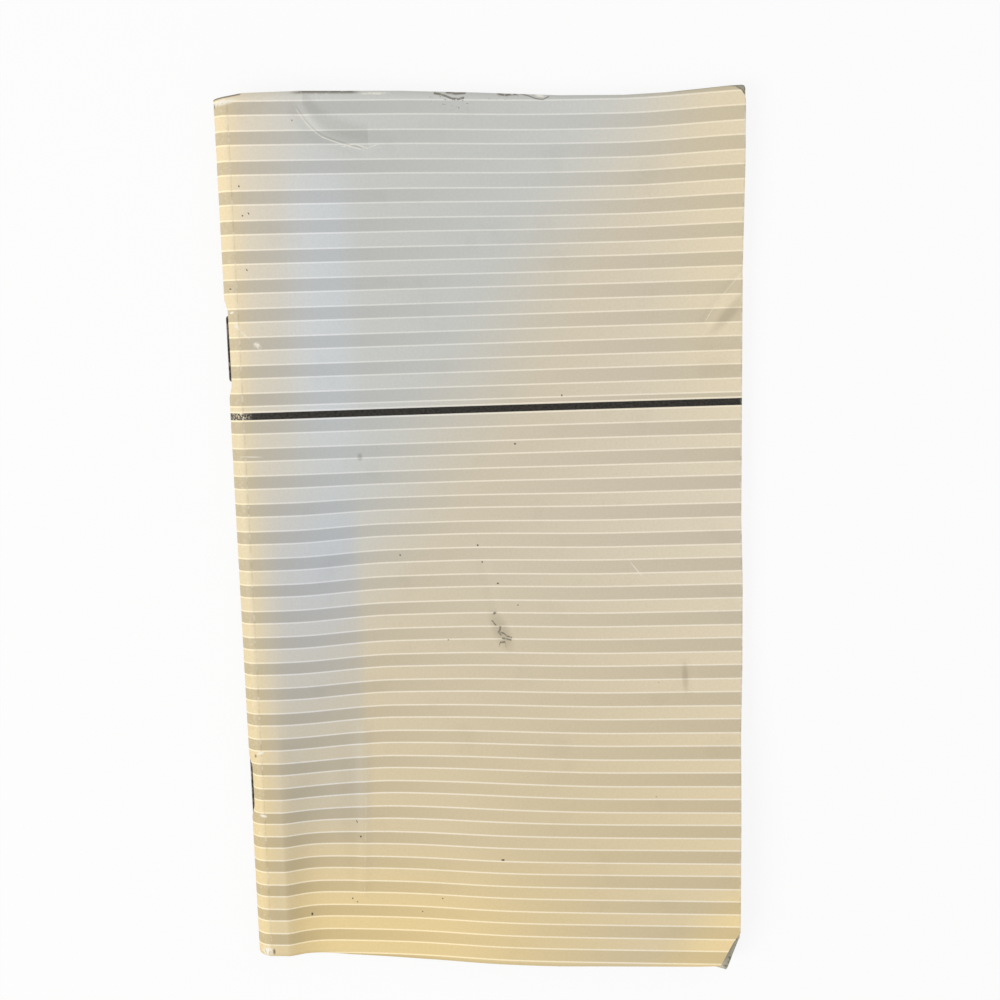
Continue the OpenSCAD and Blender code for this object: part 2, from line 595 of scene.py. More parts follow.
def round_cuts(corner: tuple[float, float], radius: float, steps: int = 4) -> list[Cut]:
    """A rounded upper corner at the fore-edge, as cuts that touch its arc.

    Args:
        corner: The sharp corner.
        radius: The arc's radius.
        steps: How many cuts there are.

    Returns:
        The cuts.
    """
    centre = Vector(corner) - Vector((radius, radius))
    cuts = []
    for step in range(steps):
        angle = math.pi / 2 * (step + 0.5) / steps
        normal = Vector((math.cos(angle), math.sin(angle)))
        cuts.append(Cut(tuple(centre + normal * radius), tuple(normal)))
    return cuts


@dataclass(frozen=True)
class Trim:
    """A worn edge: how far it lies outside the straight one, at places along it."""

    stations: Line

    def offset(self, x: np.ndarray) -> np.ndarray:
        """The offset at each place along the edge, in millimetres."""
        places, offsets = zip(*self.stations)
        return np.interp(x, places, offsets)


@dataclass(frozen=True)
class Outline:
    """A sheet's uneven edges, which leave the rest of the sheet as it is."""

    reach: float
    half_page: float
    top: Trim
    bottom: Trim
    fore: Trim
    zone: float = 5.0

    def moved(self, x: np.ndarray, y: np.ndarray) -> tuple[np.ndarray, np.ndarray]:
        """Moves the places near the edges to the worn outline.

        Args:
            x: Flat distances from the turning line.
            y: Flat places up the sheet.

        Returns:
            Both, moved.
        """
        top = smooth(self.half_page - self.zone, self.half_page, y) * self.top.offset(x)
        bottom = smooth(self.zone - self.half_page, -self.half_page, y) * self.bottom.offset(x)
        fore = smooth(self.reach - self.zone, self.reach, x) * self.fore.offset(y)
        return x + fore, y + top - bottom


FRONT_TOP = Trim((
    (-4.5, -0.2), (-1.5, 0.1), (2.9, 0.8), (14.0, 0.95), (33.0, 0.6), (48.5, -0.1), (63.6, -1.0),
    (76.0, -1.3), (87.0, -1.0), (96.0, -0.3), (99.3, -0.2),
))
FRONT_BOTTOM = Trim((
    (-4.5, -2.4), (-2.2, -2.0), (-0.6, -1.8), (2.2, -1.8), (7.0, -1.6), (16.0, -0.8), (31.0, 0.0),
    (46.0, 0.4), (61.0, 0.7), (70.5, 0.7), (90.0, 0.8), (94.7, 0.7), (99.3, 0.8),
))
LEAF_TOP = Trim((
    (0.0, -0.3), (2.9, 0.2), (14.0, 0.4), (33.0, 0.1), (48.5, -0.6), (63.6, -1.5), (75.0, -1.5),
    (80.0, -1.25), (90.0, -0.55), (96.0, -0.1), (99.3, 0.0),
))
LEAF_BOTTOM = Trim((
    (0.0, -2.2), (5.3, -2.1), (16.0, -1.2), (31.0, -0.5), (48.0, -0.1), (70.5, 0.2), (88.0, 0.5),
    (94.0, 1.1), (96.5, 1.9), (99.3, 2.0),
))
BACK_BOTTOM = Trim((
    (0.0, -2.2), (5.3, -2.0), (16.0, -1.2), (31.0, -0.5), (48.0, -0.1), (60.0, 0.0), (99.3, 0.0),
))
FORE_EDGE = Trim((
    (-89.0, -0.6), (-82.0, -0.4), (-40.0, -0.35), (-25.0, 0.0), (-8.0, 0.0), (5.0, -0.35),
    (55.0, -0.35), (75.0, 0.0), (89.0, 0.0),
))


@dataclass
class SheetMesh:
    """A sheet of paper or card, modelled flat and then bent into place.

    It runs from start to end across and from low to high up the page. Its columns crowd at the spine.
    """

    name: str
    start: float
    end: float
    low: float
    high: float
    columns: int
    rows: int
    thickness: float
    crowding: float = 1.5
    cuts: list[Cut] = field(default_factory=list)
    outline: Outline | None = None
    smooth_below: float = math.radians(40)

    def build(self, bend: Surface, facing_down: bool = False) -> bpy.types.Object:
        """Models the sheet.

        Args:
            bend: Takes the flat places and gives the bent outer face's points, in millimetres.
            facing_down: Whether the outer face looks at the table.

        Returns:
            The finished object, in metres at its place, with slots 0 outer face, 1 inner face and 2 edge.
        """
        bpy.ops.object.select_all(action="DESELECT")
        bpy.ops.mesh.primitive_grid_add(x_subdivisions=self.columns, y_subdivisions=self.rows, size=1)
        sheet = bpy.context.object
        sheet.name = sheet.data.name = self.name
        self._spread(sheet.data)
        self._trim()
        self._bend(sheet.data, bend)
        if facing_down:
            self._edit(lambda: bpy.ops.mesh.flip_normals())
        self._thicken(sheet)
        return sheet

    def _edit(self, action: Callable[[], Any]) -> None:
        """Works on the whole mesh in edit mode.

        Args:
            action: Runs the operator.
        """
        bpy.ops.object.mode_set(mode="EDIT")
        bpy.ops.mesh.select_all(action="SELECT")
        action()
        bpy.ops.object.mode_set(mode="OBJECT")

    def _spread(self, mesh: bpy.types.Mesh) -> None:
        """Spreads the grid over the flat sheet, its columns closest at the spine.

        Args:
            mesh: The grid, one unit wide and high.
        """
        co = np.zeros(len(mesh.vertices) * 3)
        mesh.vertices.foreach_get("co", co)
        co = co.reshape(-1, 3)
        share = np.clip(co[:, 0] + 0.5, 0, 1) ** self.crowding
        co[:, 0] = self.start + (self.end - self.start) * share
        co[:, 1] = self.low + (self.high - self.low) * (co[:, 1] + 0.5)
        mesh.vertices.foreach_set("co", co.ravel())

    def _trim(self) -> None:
        """Cuts the worn and rounded corners off."""
        for cut in self.cuts:
            plane = {"plane_co": (*cut.place, 0.0), "plane_no": (*cut.normal, 0.0)}
            self._edit(lambda: bpy.ops.mesh.bisect(**plane, clear_outer=True, clear_inner=False))

    def _bend(self, mesh: bpy.types.Mesh, bend: Surface) -> None:
        """Bends the flat sheet and keeps each point's flat place and its distances from the edges.

        Args:
            mesh: The flat sheet.
            bend: Takes the flat places and gives the bent ones.
        """
        co = np.zeros(len(mesh.vertices) * 3)
        mesh.vertices.foreach_get("co", co)
        flat = co.reshape(-1, 3).copy()
        flat[:, 2] = 0.0
        gaps = np.stack([self.end - flat[:, 0], self.high - flat[:, 1], flat[:, 1] - self.low], axis=1)
        if self.outline:
            flat[:, 0], flat[:, 1] = self.outline.moved(flat[:, 0], flat[:, 1])
        for name, values in ((SHEET_MAP, flat), (EDGE_MAP, gaps)):
            layer = mesh.attributes.new(name, "FLOAT_VECTOR", "POINT")
            layer.data.foreach_set("vector", values.astype(np.float32).ravel())
        bent = bend(flat[:, 0], flat[:, 1]) * MM
        mesh.vertices.foreach_set("co", bent.ravel())
        mesh.update()

    def _thicken(self, sheet: bpy.types.Object) -> None:
        """Gives the sheet its thickness, inwards from the outer face, and three empty slots.

        Args:
            sheet: The bent sheet.
        """
        for _ in range(3):
            sheet.data.materials.append(None)
        shell = sheet.modifiers.new("thickness", "SOLIDIFY")
        shell.thickness = self.thickness * MM
        shell.offset = -1.0
        shell.material_offset = 1
        shell.material_offset_rim = 2
        bpy.ops.object.modifier_apply(modifier=shell.name)
        bpy.ops.object.shade_smooth_by_angle(angle=self.smooth_below)


def dress(piece: bpy.types.Object, outer: Any, inner: Any, edge: Any) -> None:
    """Gives a sheet the materials of its two faces and its edge."""
    for slot, material in enumerate((outer, inner, edge)):
        piece.data.materials[slot] = material


@dataclass
class Turning:
    """The zone beside the spine in which an opened leaf bends over."""

    stack: Stack
    clear: float = 0.2
    length: float = 6.0
    nearest: float = 0.5

    def zone(self, sheet: int) -> tuple[float, float]:
        """Where the bend of a sheet's leaf lies.

        Args:
            sheet: The sheet, 0 for the cover.

        Returns:
            Its start, where a turned leaf clears the spine, and its end, from the turning line.
        """
        clear = (self.stack.half + self.clear) ** 2 - self.stack.outer(sheet) ** 2
        start = math.sqrt(max(clear, self.nearest**2)) if sheet else self.nearest
        return start, start + self.length

    def join(self, piece: bpy.types.Object, below: str, own: str, sheet: int) -> None:
        """Bakes a piece's place into its mesh.

        Args:
            piece: The leaf or the front cover.
            below: The body that carries its root; not used.
            own: Its own body; not used.
            sheet: The sheet that it belongs to.
        """
        start, end = self.zone(sheet)
        axis = self.stack.axis_x
        (axis + start) * MM
        (axis + end) * MM
        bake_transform(piece)


# --------------------------------------------------------------------------------------------------
# Finishes
# --------------------------------------------------------------------------------------------------


@dataclass(frozen=True)
class Zone:
    """A zone of the cover where light and shade are painted into the colour.

    Its gain multiplies the colour there. Each border is a pair of places: where the zone ends and where
    it is whole.
    """

    gain: tuple[float, float, float]
    across: Line = ()
    up: Line = ()

    def mask(self, shop: SheetShop) -> Channel:
        """Where the zone lies.

        Args:
            shop: The material's nodes.

        Returns:
            1 inside the zone, 0 outside it.
        """
        borders = [shop.x.ramp(*border) for border in self.across]
        borders += [shop.y.ramp(*border) for border in self.up]
        return math.prod(borders[1:], start=borders[0])


@dataclass(frozen=True)
class CoverPrint:
    """Coated card printed with two sets of grey bands that fade in opposite directions."""

    first_line: float = 1.2
    period: float = 5.507
    whole_periods: float = 64.0
    second_line: float = 0.48
    skew: float = 0.009
    top_drift: float = 0.020
    top_drifts: tuple[float, float] = (39.0, 89.0)
    bottom_drift: float = 0.027
    bottom_drifts: tuple[float, float] = (0.0, -89.0)
    line_half: float = 0.027
    line_soft: float = 0.014
    line_share: float = 0.9
    upper_lifts: tuple[tuple[float, float, float], ...] = ((75.0, 103.0, 1.2), (30.0, 65.0, -0.5))
    upper_from: tuple[float, float] = (45.0, 85.0)
    middle_lifts: tuple[tuple[float, float, float], ...] = ((8.0, 28.0, 0.85), (40.0, 75.0, -0.7))
    middle_drop: float = 0.4
    middle_from: tuple[float, float] = (20.0, 0.0)
    middle_down_to: tuple[float, float] = (-66.0, -50.0)
    spine_dark: int = 192
    spine_light: int = 223
    fore_dark: int = 206
    fore_light: int = 231
    warm_line: Rgb = (247, 237, 217)
    # cool_line is the white of the unprinted lines in the painted cool shade.
    cool_line: Rgb = (228, 228, 224)
    rule_y: float = 28.1
    rule_half: float = 0.7
    rule_soft: float = 0.06
    rule_gap: float = 0.3
    rule_gap_soft: float = 0.1
    rule_colour: Rgb = (20, 18, 18)
    aged: Rgb = (253, 240, 214)
    yellowed: Rgb = (255, 235, 192)
    yellows: tuple[float, float] = (10.0, -75.0)
    # The tint of the painted cool shade beside the fold, and the wedge that it fills.
    cool: Rgb = (239, 241, 237)
    cool_edge: float = 25.0
    cool_soft: float = 17.0
    cool_slant: float = 0.64
    cool_from_fold: tuple[float, float] = (-4.0, 17.0)
    cool_above: tuple[float, float] = (-72.0, -36.0)
    light_zones: tuple[Zone, ...] = (
        # Painted cool shadow in a strip beside the fold.
        Zone((0.9, 0.95, 1.08), ((1.0, 7.0), (23.0, 19.4)), ((22.0, -6.0), (-66.0, -52.0))),
        # Painted cool reflection of the sky in a strip farther out.
        Zone((1.02, 1.05, 1.13), ((7.0, 14.0), (26.0, 18.0)), ((5.0, 35.0), (84.0, 66.0))),
        # Painted light that lifts the upper left.
        Zone((1.13, 1.1, 1.07), ((26.0, -2.0),), ((5.0, 85.0),)),
        # Painted warm highlight along the fold, where the lamp grazes its bulge.
        Zone((1.12, 1.07, 0.9), ((3.6, -1.6),)),
        # Painted warm glow at the lower left.
        Zone((1.18, 1.1, 0.86), ((84.0, 30.0), (1.0, 7.0)), ((-58.0, -84.0),)),
    )
    # Lighter and warmer towards the fore-edge and, with corner_zone, in the lower right corner: painted
    # warm light together with yellowing.
    fore_zone: Zone = Zone((1.14, 1.08, 0.9), ((76.0, 99.0),), ((5.0, 50.0),))
    fore_share: float = 0.5
    corner_zone: tuple[float, float] = (24.0, 8.0)
    dim_tone: Rgb = (158, 148, 126)
    # The tint of the painted crease shade, the random clouds and the darker rims.
    shade_and_mottle: Rgb = (150, 146, 132)
    bare: Rgb = (243, 238, 224)
    scratched: Rgb = (240, 235, 222)
    grime: Rgb = (106, 100, 86)
    speck: Rgb = (52, 42, 32)
    fibre_share: float = 0.12
    ripple_share: float = 0.88
    relief_metres: float = 0.00018

    def material(self, stack: Stack) -> bpy.types.Material:
        """Builds the printed face.

        Args:
            stack: The booklet's sizes.

        Returns:
            The material.
        """
        shop = SheetShop("cover_print")
        level = self._level(shop, stack)
        # Painted cool shade beside the fold.
        cool = self._painted_cool_shade(shop)
        colour = self._striped(shop, stack, level, cool)
        colour = self._ruled(shop, colour, abs(level - self.rule_y))
        colour = self._painted_light_zones(shop, colour, stack)
        colour = self._worn_and_shaded(shop, colour, WearAndShade(shop, stack))
        fibre = shop.grain(shop.place, 3.0, 3.0, 0.6)
        ripple = shop.grain(shop.stretched(shop.place, 0.05, 0.16), 1.0, 2.0, 0.5)
        height = fibre * self.fibre_share + ripple * self.ripple_share
        varying = {
            "Roughness": shop.grain(shop.place, 0.12, 3.0, 0.6) * 0.16 + 0.38,
            "Normal": shop.relief(height, 0.5, self.relief_metres),
        }
        return shop.surface(colour, {"IOR": 1.46, "Specular IOR Level": 0.35}, varying)

    def _level(self, shop: SheetShop, stack: Stack) -> Channel:
        """The height up the page that was printed at each place, which the press and the wear moved.

        Args:
            shop: The material's nodes.
            stack: The booklet's sizes.

        Returns:
            The height, in millimetres.
        """
        x, y = shop.x, shop.y
        turned = self.skew - y.ramp(*self.top_drifts) * self.top_drift
        turned = turned - y.ramp(*self.bottom_drifts) * self.bottom_drift
        upper = sum(x.ramp(start, end) * rise for start, end, rise in self.upper_lifts)
        middle = sum(x.ramp(start, end) * rise for start, end, rise in self.middle_lifts)
        in_middle = y.ramp(*self.middle_from) * y.ramp(*self.middle_down_to)
        lift = upper * y.ramp(*self.upper_from) + (middle - self.middle_drop) * in_middle
        return y - (x + stack.axis_x) * turned - lift

    def _painted_cool_shade(self, shop: SheetShop) -> Channel:
        """Painted cool shade: beside the fold, in a wedge that widens upwards, where the card slopes away
        from the warm lamp.

        Args:
            shop: The material's nodes.

        Returns:
            1 where it is coolest.
        """
        blotch = (shop.grain(shop.place, 0.03, 2.0) - 0.5) * 12.0
        inside = shop.x - shop.y * self.cool_slant + blotch
        inside = inside.ramp(self.cool_edge + self.cool_soft, self.cool_edge - self.cool_soft)
        return inside * shop.x.ramp(*self.cool_from_fold) * shop.y.ramp(*self.cool_above)

    def _striped(self, shop: SheetShop, stack: Stack, level: Channel, cool: Channel) -> Any:
        """The two sets of bands on the tinted card with its painted cool shade, and the thin unprinted
        lines between them.

        Args:
            shop: The material's nodes.
            stack: The booklet's sizes.
            level: The height that was printed.
            cool: Where the painted cool shade lies.

        Returns:
            The colour.
        """
        across = ((shop.x + stack.half) / (stack.reach + stack.half)).clamped()
        from_first = (stack.half_page - self.first_line - level) / self.period
        step = (from_first + self.whole_periods).fraction()
        spine_dark, spine_light, fore_dark, fore_light = (
            linear(grey, grey, grey)
            for grey in (self.spine_dark, self.spine_light, self.fore_dark, self.fore_light)
        )
        band_a = shop.mixed(across, spine_dark, fore_light)
        band_b = shop.mixed(across, spine_light, fore_dark)
        colour = shop.mixed(step.above(self.second_line), band_a, band_b)
        warm = shop.mixed(shop.y.ramp(*self.yellows), linear(*self.aged), linear(*self.yellowed))
        # The print takes the painted cool shade in the wedge, and the warm tint elsewhere.
        colour = shop.mixed(1.0, colour, shop.mixed(cool, warm, linear(*self.cool)), "MULTIPLY")
        beside_rule = self.rule_half + self.rule_gap
        line = abs(level - self.rule_y).ramp(beside_rule + self.rule_gap_soft, beside_rule)
        for middle in (0.0, 1.0, self.second_line):
            gap = abs(step - middle)
            line = line.most(gap.ramp(self.line_half + self.line_soft, self.line_half - self.line_soft))
        # The unprinted lines turn grey in the painted cool shade too.
        bare = shop.mixed(cool, linear(*self.warm_line), linear(*self.cool_line))
        return shop.mixed(line * self.line_share, colour, bare)

    def _ruled(self, shop: SheetShop, colour: Any, from_rule: Channel) -> Any:
        """The black rule, rubbed thin where it crosses the fold.

        Args:
            shop: The material's nodes.
            colour: The striped card.
            from_rule: The distance from the rule's middle.

        Returns:
            The colour.
        """
        ink = from_rule.ramp(self.rule_half + self.rule_soft, self.rule_half - self.rule_soft)
        flaking = shop.grain(shop.place, 2.6, 4.0, 0.7).ramp(0.45, 0.62)
        rubbed = abs(shop.x + 1.0).ramp(3.0, 0.5) * flaking
        return shop.mixed(ink * (1.0 - rubbed * 0.8), colour, linear(*self.rule_colour))

    def _painted_light_zones(self, shop: SheetShop, colour: Any, stack: Stack) -> Any:
        """The painted light and shade: each zone's tint, and painted warm light with some yellowing towards
        the fore-edge and in the lower right corner.

        Args:
            shop: The material's nodes.
            colour: The printed card.
            stack: The booklet's sizes.

        Returns:
            The colour.
        """
        for zone in self.light_zones:
            colour = shop.gained(zone.mask(shop), colour, zone.gain)
        start, end = self.corner_zone
        lower_corner = stack.reach + stack.half_page
        corner = (shop.x - shop.y).ramp(lower_corner - start, lower_corner - end)
        fore = self.fore_zone.mask(shop) * self.fore_share
        return shop.gained(fore.most(corner), colour, self.fore_zone.gain)

    def _worn_and_shaded(self, shop: SheetShop, colour: Any, wear: "WearAndShade") -> Any:
        """Painted shade in the creases, grime with painted shadow at the top edge, specks, a smear, rubbed
        edges, torn corners and scratches.

        Args:
            shop: The material's nodes.
            colour: The faded card.
            wear: The masks of the wear and of the painted shade.

        Returns:
            The colour.
        """
        mottle = shop.grain(shop.place, 1.9, 3.0, 0.75).ramp(0.3, 0.72)
        colour = shop.mixed(mottle * 0.11, colour, linear(*self.dim_tone))
        # Painted shade in the creases, random grey clouds and darker rims along the edges.
        colour = shop.mixed(wear.shaded(), colour, linear(*self.shade_and_mottle), "MULTIPLY")
        colour = shop.mixed(wear.rubbed(), colour, linear(*self.bare))
        colour = shop.mixed(wear.scratches(), colour, linear(*self.scratched))
        # The grime colour also paints the shadow at the top of the fold and under the torn flaps at the top
        # edge.
        colour = shop.mixed(wear.dirt_and_shadow(), colour, linear(*self.grime))
        return shop.mixed(wear.specks(), colour, linear(*self.speck))


@dataclass
class WearAndShade:
    """Masks of the cover's wear and of the shade and highlight painted on it: Ovals for soft marks, Lines
    for thin ones, all placed in the frame.
    """

    shop: SheetShop
    stack: Stack
    # Soft painted shade along the creases.
    crease_shades: tuple[Oval, ...] = (
        (48.6, 46.2, 1.6, 8.0, -42),
        (39.6, -27.5, 0.9, 4.2, 3),
        (2.2, -17.5, 2.4, 6.0, 24),
    )
    # Painted shade beside the raised crease at the lower left.
    ridge: Oval = (-30.6, -56.0, 3.4, 24.0, 2)
    ridge_top: Line = ((-26.6, -42.0), (-27.2, -56.0), (-28.2, -74.0))
    # Painted shade in the dent above the smile crease, and a thin painted shadow along the crease's upper
    # edge.
    hollow_beside: tuple[float, float] = (1.5, 2.3)
    hollow_half: float = 3.0
    lip_beside: tuple[float, float] = (0.2, 0.3)
    lip_half: float = 0.2
    flaked: Line = ((-26.5, 79.4), (-23.9, 79.9), (-21.5, 79.0), (-19.4, 79.7))
    scuffs: tuple[Oval, ...] = (
        (-48.6, 45.6, 1.0, 0.7, -40),
        (-44.6, 41.7, 1.3, 0.8, -45),
        (-47.6, 44.4, 2.6, 0.3, -45),
    )
    torn_corners: tuple[Oval, ...] = ((-48.9, 88.2, 3.6, 0.8, 8), (-48.9, -86.0, 1.5, 1.6))
    staple_flaps: tuple[Oval, ...] = (
        (-48.2, -42.2, 0.9, 0.45, 20),
        (-48.3, -55.9, 1.0, 0.45, -15),
        (-49.5, 48.2, 0.8, 0.35, 10),
    )
    top_fray: Oval = (12.0, 88.0, 1.3, 0.35, -8)
    top_scrape: Oval = (-19.8, 89.2, 3.8, 0.35)
    light_scratches: tuple[Oval, ...] = ((-46.9, 19.6, 2.9, 0.16, -2), (29.8, -5.0, 0.14, 3.0, 38))
    top_grime: Oval = (-29.2, 89.5, 8.0, 9.0)
    top_tears: tuple[Line, ...] = (
        ((-8.3, 89.0), (-7.2, 88.8), (-6.0, 88.4), (-4.9, 87.9), (-3.7, 87.8), (-2.6, 88.0)),
        ((-6.0, 89.1), (-4.1, 88.8), (-2.2, 88.9)),
        ((3.8, 88.6), (5.3, 88.3), (6.8, 88.4), (8.2, 88.5)),
    )
    tear_half: float = 0.34
    tear_dots: tuple[Oval, ...] = ((-5.0, 87.6, 5.5, 2.4), (5.0, 88.2, 4.5, 1.5))
    # The dark tear line and nick near the torn flaps at the top edge are partly painted shadow under the
    # flaps.
    top_crack: Line = ((8.2, 88.5), (9.7, 88.1), (11.2, 87.5), (12.6, 87.3), (13.7, 87.8))
    crack_half: float = 0.2
    top_nick: Oval = (11.0, 88.6, 3.6, 0.4, -6)
    smear: tuple[Line, ...] = (
        ((0.3, -15.2), (0.7, -15.8), (1.1, -16.3)),
        ((2.0, -16.5), (1.9, -17.3), (1.6, -17.7), (2.1, -18.4)),
        ((1.6, -17.7), (2.7, -18.0), (3.3, -18.6), (4.3, -18.9)),
        ((2.3, -19.0), (3.2, -19.2), (4.2, -19.4)),
        ((1.6, -20.7), (1.9, -19.9), (2.9, -19.8), (3.1, -20.9)),
    )
    smear_half: float = 0.3
    smear_blot: Oval = (0.9, -13.7, 0.65, 0.4, 35)
    stain: Oval = (-25.3, 19.1, 0.7, 1.1)
    notches: tuple[Oval, ...] = (
        (-47.6, -86.2, 0.42, 0.95),
        (-50.9, 87.6, 0.4, 0.6),
        (-49.2, -42.9, 0.3, 0.5),
    )
    corner_cracks: tuple[Oval, ...] = ((-49.3, -86.2, 0.2, 0.8, 20), (-48.5, -86.5, 0.2, 0.6, -10))
    bottom_grime: Oval = (-45.9, -87.5, 1.3, 0.4)
    dark_specks: tuple[Oval, ...] = (
        (1.5, -66.1, 0.55, 0.28),
        (-39.5, -78.7, 0.3, 0.45),
        (-28.5, -61.6, 0.28, 0.3),
        (-30.8, -75.5, 0.22, 0.25),
        (-11.5, -75.2, 0.2, 0.2),
        (5.8, 21.0, 0.32, 0.25),
        (15.3, 30.5, 0.2, 0.3),
        (-2.2, 0.5, 0.25, 0.3),
        (-1.4, -3.0, 0.2, 0.3),
        (1.7, -7.5, 0.3, 0.25),
        (-18.0, -1.2, 0.2, 0.3),
        (-46.6, 72.4, 0.2, 0.3),
        (-46.2, 66.8, 0.25, 0.2),
        (-45.0, 67.2, 0.15, 0.4, 30),
        (-49.2, 52.8, 0.3, 0.2),
        (-45.9, 56.4, 0.15, 0.35, 35),
        (-29.2, -58.3, 0.14, 0.5, 20),
        (-29.8, -76.3, 0.3, 0.14, -30),
        (-15.9, -78.3, 0.25, 0.14),
        (5.7, -12.1, 0.2, 0.2),
    )

    def __post_init__(self) -> None:
        """Measures the distances from the sheet's edges and makes the noises that most marks share."""
        self.from_fore, self.from_top, self.from_bottom = self.shop.edge_gaps()
        self.fine = self.shop.grain(self.shop.place, 1.4, 4.0, 0.65)
        self.coarse = self.shop.grain(self.shop.place, 0.5, 4.0, 0.7)

    def spot(self, x: float, y: float, wide: float, tall: float, turn: float = 0.0) -> Channel:
        """A soft oval mark.

        Args:
            x: Its middle across the booklet, in millimetres.
            y: Its middle up the booklet.
            wide: Half its width.
            tall: Half its height.
            turn: How far it is turned, in degrees.

        Returns:
            1 in its middle, 0 at its edge.
        """
        turned, rise = math.cos(math.radians(turn)), math.sin(math.radians(turn))
        dx, dy = self.shop.x - (x - self.stack.axis_x), self.shop.y - y
        across = (dx * turned + dy * rise) / wide
        along = (dy * turned - dx * rise) / tall
        return (across * across + along * along).root().ramp(1.0, 0.25)

    def stroke(self, line: Line, half_width: float) -> Channel:
        """A thin line through several places, drawn as a curve over its longer side.

        Args:
            line: The places it runs through, in millimetres.
            half_width: Half its width.

        Returns:
            1 along its middle, 0 outside it.
        """
        across, up = self.shop.x + self.stack.axis_x, self.shop.y
        upright = abs(line[-1][1] - line[0][1]) > abs(line[-1][0] - line[0][0])
        along, off = (up, across) if upright else (across, up)
        places = sorted((y, x) if upright else (x, y) for x, y in line)
        start, length = places[0][0], places[-1][0] - places[0][0]
        low = min(place[1] for place in places)
        spread = max(max(place[1] for place in places) - low, 0.001)
        share = (along - start) / length
        points = [((run - start) / length, (rise - low) / spread) for run, rise in places]
        curve = self.shop.node("ShaderNodeFloatCurve", {"points": points}, {"Value": share})
        gap = abs(off - (Channel(self.shop, curve.outputs[0]) * spread + low))
        return gap.ramp(half_width, half_width * 0.2) * abs(share - 0.5).ramp(0.52, 0.5)

    def strokes(self, lines: tuple[Line, ...], half_width: float) -> Channel:
        """Several thin lines together."""
        return reduce(Channel.most, [self.stroke(line, half_width) for line in lines])

    def spots(self, ovals: tuple[Oval, ...]) -> Channel:
        """Several soft oval marks together."""
        return reduce(Channel.most, [self.spot(*oval) for oval in ovals])

    def shaded(self) -> Channel:
        """Painted shade inside and beside the creases, with soft grey clouds at random and darker rims
        along the edges.

        Returns:
            How much darker the card is.
        """
        # Painted shade in the dent above the smile crease, and a thin painted shadow along its upper edge.
        right, up = self.hollow_beside
        hollow = self.stroke(tuple((x + right, y + up) for x, y in SMILE_CREASE), self.hollow_half)
        right, up = self.lip_beside
        lip = self.stroke(tuple((x + right, y + up) for x, y in SMILE_CREASE), self.lip_half)
        creases = self.spot(*self.ridge) * 0.06 + hollow * 0.16 + lip * 0.25
        clouds = self.shop.grain(self.shop.place, 0.09, 4.0, 0.6).ramp(0.54, 0.74)
        ends = self.from_top.ramp(1.2, 0.0).most(self.from_bottom.ramp(0.8, 0.0))
        edges = ends * 0.16 + self.from_fore.ramp(0.5, 0.0) * 0.2
        return (self.spots(self.crease_shades) * 0.24 + creases + clouds * 0.06 + edges).clamped()

    def rubbed(self) -> Channel:
        """Paler paper where the print has rubbed off at the fold, the creases, the edges and the torn
        corners; the pale line along the smile crease is partly a painted highlight.

        Returns:
            1 where the paper is bare.
        """
        marks = (
            abs(self.shop.x + 1.4).ramp(1.6, 0.1) * self.fine.ramp(0.5, 0.64) * 0.2,
            self.from_fore.ramp(0.5, 0.1) * self.coarse.ramp(0.42, 0.62) * 0.4,
            self.spots(self.scuffs) * self.fine.ramp(0.38, 0.55) * 0.8,
            # The pale line along the smile crease: rubbed print, and partly a painted highlight on the
            # crease's edge.
            self.stroke(SMILE_CREASE, 0.12) * self.fine.ramp(0.28, 0.55) * 0.8,
            self.stroke(self.flaked, 0.11) * self.fine.ramp(0.3, 0.55) * 0.7,
            self.stroke(DIAGONAL_CREASE, 0.14) * self.coarse.ramp(0.3, 0.6) * 0.6,
            self.stroke(self.ridge_top, 0.12) * self.coarse.ramp(0.4, 0.62) * 0.3,
            self.spots(self.torn_corners) * self.fine.ramp(0.32, 0.5) * 0.92,
            self.spots(self.staple_flaps) * 0.92,
            self.spot(*self.top_fray) * 0.7,
            self.spot(*self.top_scrape) * self.fine.ramp(0.3, 0.6) * 0.7,
        )
        return reduce(Channel.most, marks)

    def scratches(self) -> Channel:
        """Two light scratches."""
        return self.spots(self.light_scratches) * 0.75

    def dirt_and_shadow(self) -> Channel:
        """Grime along the top edge, in the corners and about the staples, and a smear below the middle,
        with painted shadow at the top of the fold and under the torn flaps at the top edge.

        Returns:
            1 where the dirt is thickest.
        """
        place = self.shop.place
        patches = self.shop.grain(self.shop.stretched(place, 0.6, 1.4), 1.0, 4.0, 0.7)
        dots = self.shop.grain(place, 1.5, 3.0, 0.6).ramp(0.62, 0.68)
        broken = self.shop.grain(place, 2.2, 3.0, 0.7).ramp(0.34, 0.5)
        near_top = self.from_top.ramp(0.7, 0.15)
        marks = (
            near_top * self.spot(*self.top_grime).ramp(0.0, 0.5) * patches.ramp(0.34, 0.5),
            self.strokes(self.top_tears, self.tear_half) * self.fine.ramp(0.34, 0.5),
            self.spots(self.tear_dots).ramp(0.0, 0.6) * dots,
            # The tear line here, and the nick two lines below: grime, and painted shadow under small torn
            # flaps.
            self.stroke(self.top_crack, self.crack_half) * 0.85,
            # A dark line along the top edge beside the fold: painted shadow at the top of the fold, under
            # the peeled edge.
            self.from_top.ramp(0.36, 0.16) * self.shop.x.ramp(2.9, 2.2),
            self.spot(*self.top_nick) * 0.5,
            self.strokes(self.smear, self.smear_half).most(self.spot(*self.smear_blot)) * broken,
            self.spot(*self.stain) * 0.4,
            self.spots(self.notches),
            self.spots(self.corner_cracks) * 0.45,
            self.spot(*self.bottom_grime) * 0.45,
        )
        return reduce(Channel.most, marks) * 0.85

